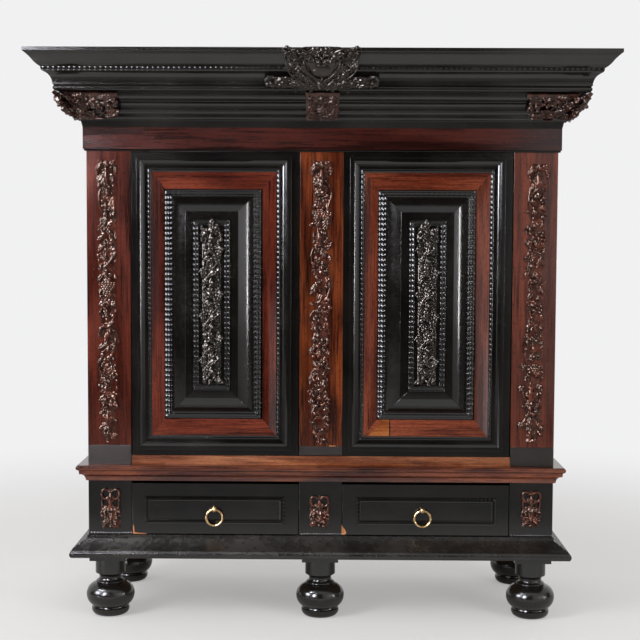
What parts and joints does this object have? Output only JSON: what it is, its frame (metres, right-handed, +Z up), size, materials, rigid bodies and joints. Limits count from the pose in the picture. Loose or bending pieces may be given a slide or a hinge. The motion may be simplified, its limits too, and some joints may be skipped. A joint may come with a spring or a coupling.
{
  "type": "kas cupboard",
  "caption": "Large Dutch cushion-door cupboard on turned bun feet, with ebonised ripple mouldings, rosewood pilasters, deep cornice and a drawer row with ring pulls.",
  "frame": {"origin": "on the floor under the middle of the overall box", "axes": "+Z up, the doors face -Y, +X to the right seen from the front"},
  "size_m": [1.928, 0.7922, 1.9165],
  "materials": {
    "ebonised": "polished ebonised wood",
    "rosewood": "polished rosewood veneer",
    "rosewood_carved": "carved and polished rosewood",
    "oak": "plain planed oak",
    "brass": "polished brass",
    "iron": "forged iron"
  },
  "bodies": {
    "carcass": {"foot_front_left": "ebonised", "foot_front_centre": "ebonised", "foot_front_right": "ebonised", "feet_rear": "ebonised", "base_moulding": "ebonised", "base_board": "oak", "base_back_rail": "oak", "base_ends": "ebonised", "base_posts": "ebonised", "base_divider": "oak", "drawer_runners": "oak", "post_carvings": "rosewood_carved", "waist_moulding": "rosewood", "cupboard_floor": "oak", "front_rails": "rosewood", "pilaster_left": "rosewood", "pilaster_right": "rosewood", "pilaster_plinths": "ebonised", "carving_left": "rosewood_carved", "carving_right": "rosewood_carved", "case_side_left": "ebonised", "case_side_right": "ebonised", "side_panels": "ebonised", "back_boards": "oak", "shelves": "oak", "shelf_battens": "oak", "top_boards": "oak", "frieze": "rosewood", "frieze_mouldings": "ebonised", "cornice": "ebonised", "cornice_blocks": "rosewood_carved", "crest_ornament": "ebonised", "hinge_pins": "iron"},
    "door_left": {"door_left_frame": "ebonised", "door_left_moulding": "ebonised", "door_left_band": "rosewood", "door_left_cushion": "ebonised", "door_left_field": "ebonised", "door_left_carving": "ebonised", "lock_keep": "iron"},
    "door_right": {"door_right_frame": "ebonised", "door_right_moulding": "ebonised", "door_right_band": "rosewood", "door_right_cushion": "ebonised", "door_right_field": "ebonised", "door_right_carving": "ebonised", "pilaster_centre": "rosewood", "centre_plinth": "ebonised", "carving_centre": "rosewood_carved", "lock_case": "iron"},
    "lock_bolt": {"lock_bolt": "iron"},
    "drawer_left": {"drawer_left_front": "ebonised", "drawer_left_box": "oak", "ring_post_left": "brass"},
    "ring_left": {"ring_left": "brass"},
    "drawer_right": {"drawer_right_front": "ebonised", "drawer_right_box": "oak", "ring_post_right": "brass"},
    "ring_right": {"ring_right": "brass"}
  },
  "joints": [
    {"name": "door_left_hinge", "type": "hinge", "parent": "carcass", "child": "door_left", "pos_m": [-0.633, -0.19527, 0.565], "axis": [0, 0, -1], "range_deg": [0, 95]},
    {"name": "door_right_hinge", "type": "hinge", "parent": "carcass", "child": "door_right", "pos_m": [0.633, -0.19527, 0.565], "axis": [0, 0, 1], "range_deg": [0, 95]},
    {"name": "lock_bolt_slide", "type": "slide", "parent": "door_right", "child": "lock_bolt", "axis": [-1, 0, 0], "range_m": [0, 0.018]},
    {"name": "drawer_left_slide", "type": "slide", "parent": "carcass", "child": "drawer_left", "axis": [0, -1, 0], "range_m": [0, 0.38]},
    {"name": "drawer_right_slide", "type": "slide", "parent": "carcass", "child": "drawer_right", "axis": [0, -1, 0], "range_m": [0, 0.38]},
    {"name": "ring_left_hinge", "type": "hinge", "parent": "drawer_left", "child": "ring_left", "pos_m": [-0.36, -0.21777, 0.38], "axis": [-1, 0, 0], "range_deg": [0, 95]},
    {"name": "ring_right_hinge", "type": "hinge", "parent": "drawer_right", "child": "ring_right", "pos_m": [0.347, -0.21777, 0.38], "axis": [-1, 0, 0], "range_deg": [0, 95]}
  ]
}
